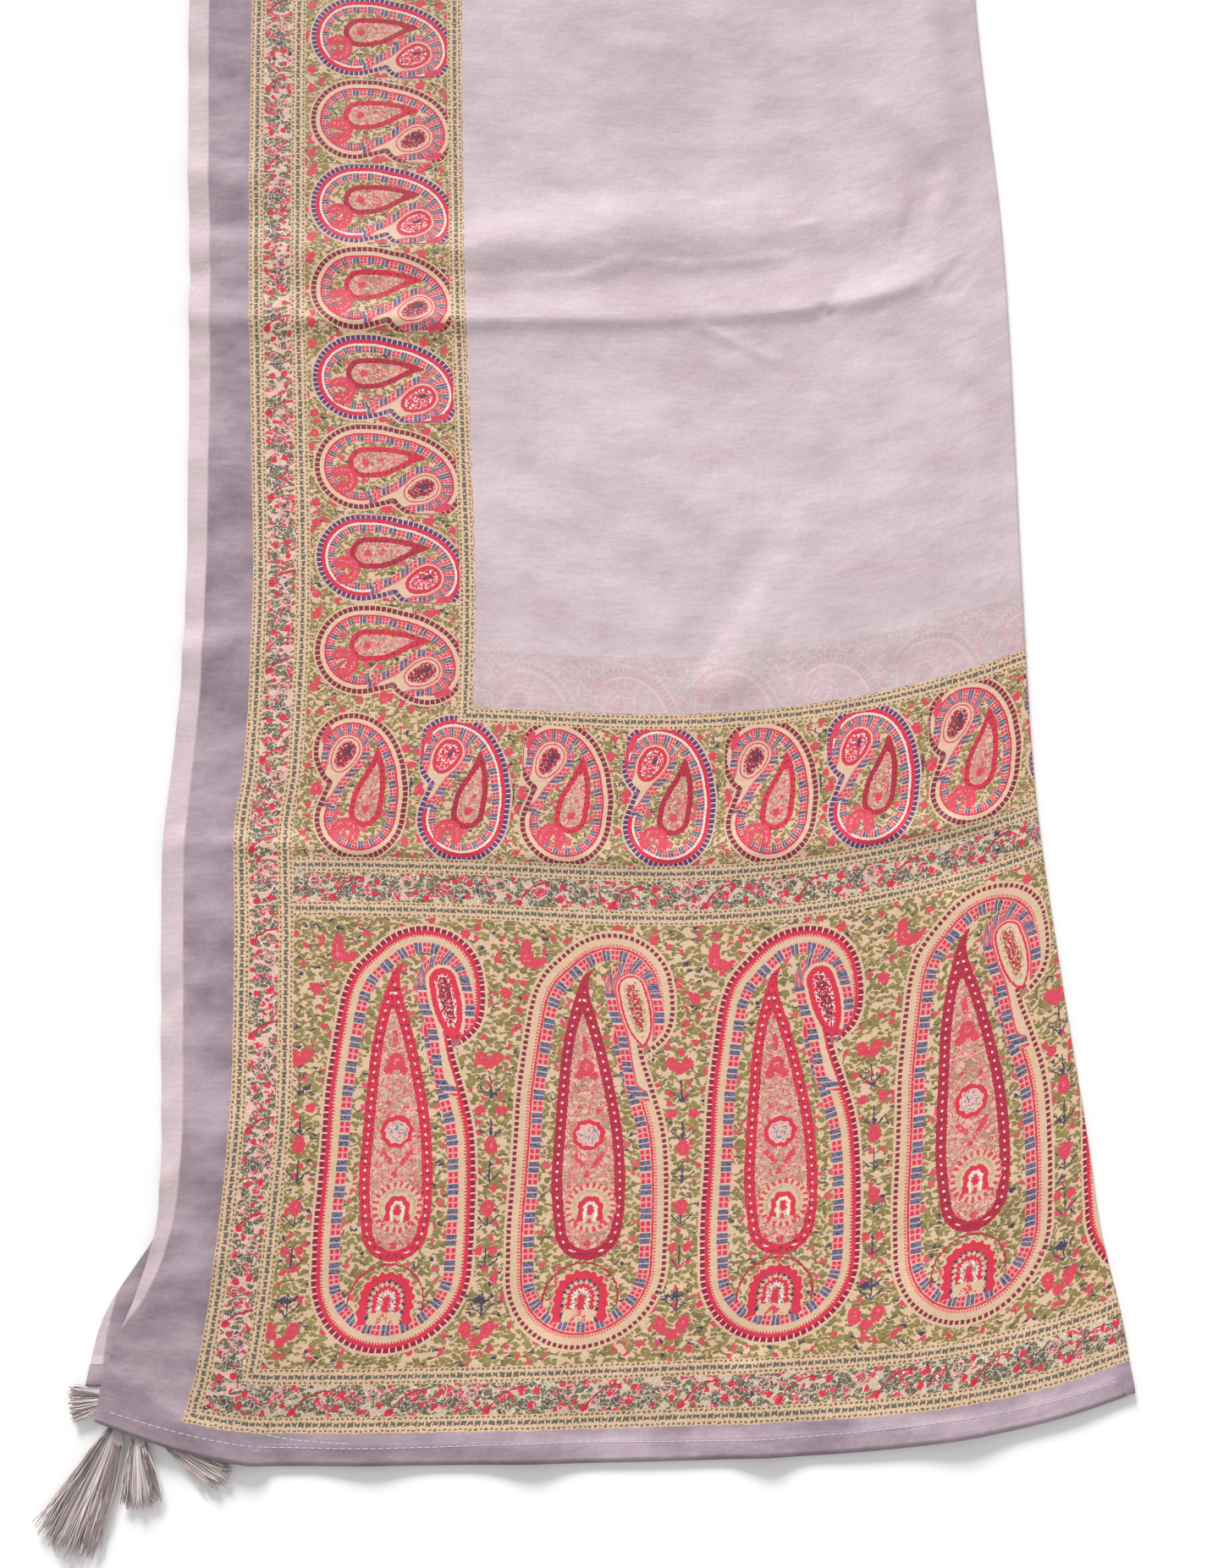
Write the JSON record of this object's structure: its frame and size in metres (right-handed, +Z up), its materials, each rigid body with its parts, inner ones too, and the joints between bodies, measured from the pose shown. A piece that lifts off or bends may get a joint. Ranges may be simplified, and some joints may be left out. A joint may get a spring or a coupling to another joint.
{
  "type": "dupatta",
  "caption": "Long printed silk dupatta folded once along its length and laid flat, with thread tassels at the corners",
  "frame": {"origin": "on the surface that the cloth lies on, under the middle of the whole object's box", "axes": "+Z up off the surface, +Y along the cloth away from the viewer, +X across it towards the folded side"},
  "size_m": [0.5264, 2.3844, 0.0074],
  "materials": {
    "silk": "soft silk with a low sheen, printed",
    "tassel_thread": "loose silk thread"
  },
  "bodies": {
    "root": {"dupatta_cloth": "silk", "tassel_near_upper_1": "tassel_thread", "tassel_near_upper_2": "tassel_thread", "tassel_near_under_1": "tassel_thread", "tassel_near_under_2": "tassel_thread", "tassel_far_upper_1": "tassel_thread", "tassel_far_upper_2": "tassel_thread", "tassel_far_under_1": "tassel_thread", "tassel_far_under_2": "tassel_thread"}
  },
  "joints": []
}
